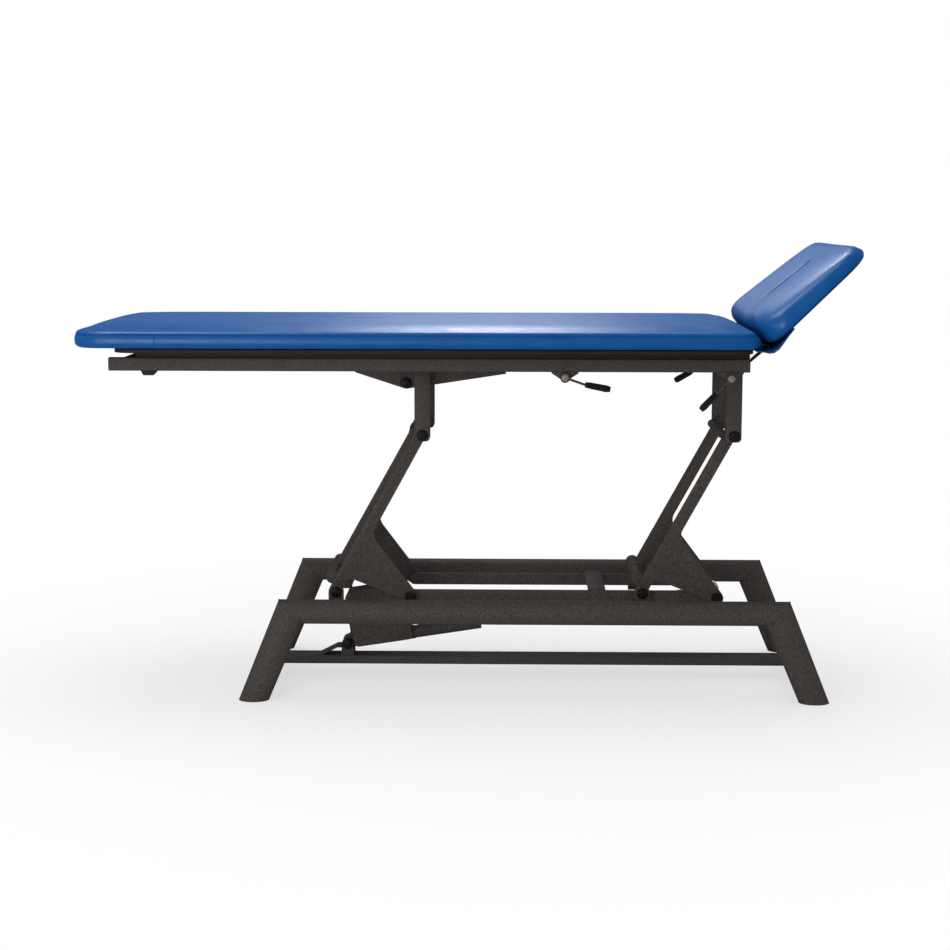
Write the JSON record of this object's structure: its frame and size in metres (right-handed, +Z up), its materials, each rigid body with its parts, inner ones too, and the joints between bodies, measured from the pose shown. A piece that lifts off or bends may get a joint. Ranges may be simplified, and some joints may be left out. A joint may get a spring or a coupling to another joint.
{
  "type": "treatment table",
  "caption": "Upholstered treatment table on a parallelogram lift with a tilting head section, splayed tube base and release levers.",
  "frame": {"origin": "on the floor under the middle of the table's overall box", "axes": "+X along the table towards the head section, +Y across the table away from the side with the single lever, +Z up"},
  "size_m": [1.8894, 0.686, 1.1195],
  "materials": {
    "frame": "fine textured charcoal powder coat",
    "bolt": "black oxide, semi-matt",
    "vinyl": "satin vinyl-coated upholstery fabric, blue",
    "board": "dark stained plywood, matt",
    "rubber": "matt black rubber",
    "grip": "fluted black plastic",
    "steel": "bare steel",
    "housing": "dark coated casting"
  },
  "bodies": {
    "base": {"base_rail_near": "frame", "base_rail_far": "frame", "leg_near_left": "frame", "leg_near_right": "frame", "leg_far_left": "frame", "leg_far_right": "frame", "end_crossbar_left": "frame", "end_crossbar_right": "frame", "spine_bar": "frame", "actuator_clevis": "frame", "pivot_bracket_near_left": "frame", "pivot_bracket_near_right": "frame", "pivot_bracket_far_left": "frame", "pivot_bracket_far_right": "frame", "clevis_brace": "frame"},
    "arm_left": {"arm_left_near": "frame", "arm_left_far": "frame", "arm_left_crossframe": "frame"},
    "arm_right": {"arm_right_near": "frame", "arm_right_far": "frame", "arm_right_crossframe": "frame", "crank_shaft": "bolt"},
    "tie": {"tie_bar_near": "frame", "tie_bar_far": "frame", "tie_spacer": "frame"},
    "actuator": {"actuator_housing": "housing", "actuator_tube": "frame"},
    "push_rod": {"push_rod": "steel"},
    "upper_frame": {"frame_rail_near": "frame", "frame_rail_far": "frame", "frame_crossbar_foot": "frame", "frame_crossbar_left": "frame", "frame_crossbar_right": "frame", "post_near_left": "frame", "post_near_right": "frame", "post_far_left": "frame", "post_far_right": "frame", "spacer_strip_near": "board", "spacer_strip_far": "board", "top_board": "board", "main_pad": "vinyl", "wedge_bracket_near": "frame", "wedge_bracket_far": "frame", "bumper_near": "rubber", "bumper_far": "rubber", "hinge_bracket_near": "bolt", "hinge_bracket_far": "bolt", "tilt_lever_bracket": "frame", "head_lever_near_bracket": "frame", "head_lever_far_bracket": "frame", "hinge_flap": "vinyl"},
    "tilt_lever": {"tilt_lever_arm": "steel", "tilt_lever_grip": "grip"},
    "head_lever_near": {"head_lever_near_arm": "steel", "head_lever_near_grip": "grip"},
    "head_lever_far": {"head_lever_far_arm": "steel", "head_lever_far_grip": "grip"},
    "head": {"head_board": "board", "head_pad": "vinyl", "head_hinge_bar": "bolt"}
  },
  "joints": [
    {"name": "table_lift", "type": "hinge", "parent": "base", "child": "arm_left", "pos_m": [-0.33125, 0, 0.2411], "axis": [0, 1, 0], "range_deg": [0, 50]},
    {"name": "arm_right_swing", "type": "hinge", "parent": "base", "child": "arm_right", "pos_m": [0.43725, 0, 0.2411], "axis": [0, 1, 0], "range_deg": [-0.5, 50.5]},
    {"name": "frame_level", "type": "hinge", "parent": "arm_left", "child": "upper_frame", "pos_m": [-0.11295, 0, 0.6405], "axis": [0, 1, 0], "range_deg": [-50.5, 0.5]},
    {"name": "tie_swing", "type": "hinge", "parent": "arm_left", "child": "tie", "pos_m": [-0.14425, 0, 0.2279], "axis": [0, 1, 0], "range_deg": [-50.5, 0.5]},
    {"name": "actuator_swing", "type": "hinge", "parent": "base", "child": "actuator", "pos_m": [-0.31265, 0, 0.083], "axis": [0, 1, 0], "range_deg": [-0.5, 9.2]},
    {"name": "rod_swing", "type": "hinge", "parent": "arm_right", "child": "push_rod", "pos_m": [0.62425, 0, 0.2279], "axis": [0, 1, 0], "range_deg": [-41.8, 0.5]},
    {"name": "head_tilt", "type": "hinge", "parent": "upper_frame", "child": "head", "pos_m": [0.71535, 0, 0.8665], "axis": [0, 1, 0], "range_deg": [0, 75], "deforming": ["hinge_flap"]},
    {"name": "tilt_lever_pull", "type": "hinge", "parent": "upper_frame", "child": "tilt_lever", "pos_m": [0.23535, -0.2597, 0.792], "axis": [0, 1, 0], "range_deg": [-12, 20]},
    {"name": "head_lever_near_pull", "type": "hinge", "parent": "upper_frame", "child": "head_lever_near", "pos_m": [0.63435, -0.2597, 0.791], "axis": [0, 1, 0], "range_deg": [0, 25]},
    {"name": "head_lever_far_pull", "type": "hinge", "parent": "upper_frame", "child": "head_lever_far", "pos_m": [0.63435, 0.2597, 0.791], "axis": [0, 1, 0], "range_deg": [0, 18]}
  ],
  "couplings": [
    {"joint": "arm_right_swing", "follows": "table_lift", "ratio": 1},
    {"joint": "frame_level", "follows": "table_lift", "ratio": -1},
    {"joint": "tie_swing", "follows": "table_lift", "ratio": -1},
    {"joint": "actuator_swing", "follows": "table_lift", "ratio": 0.1746},
    {"joint": "rod_swing", "follows": "table_lift", "ratio": -0.8254}
  ]
}
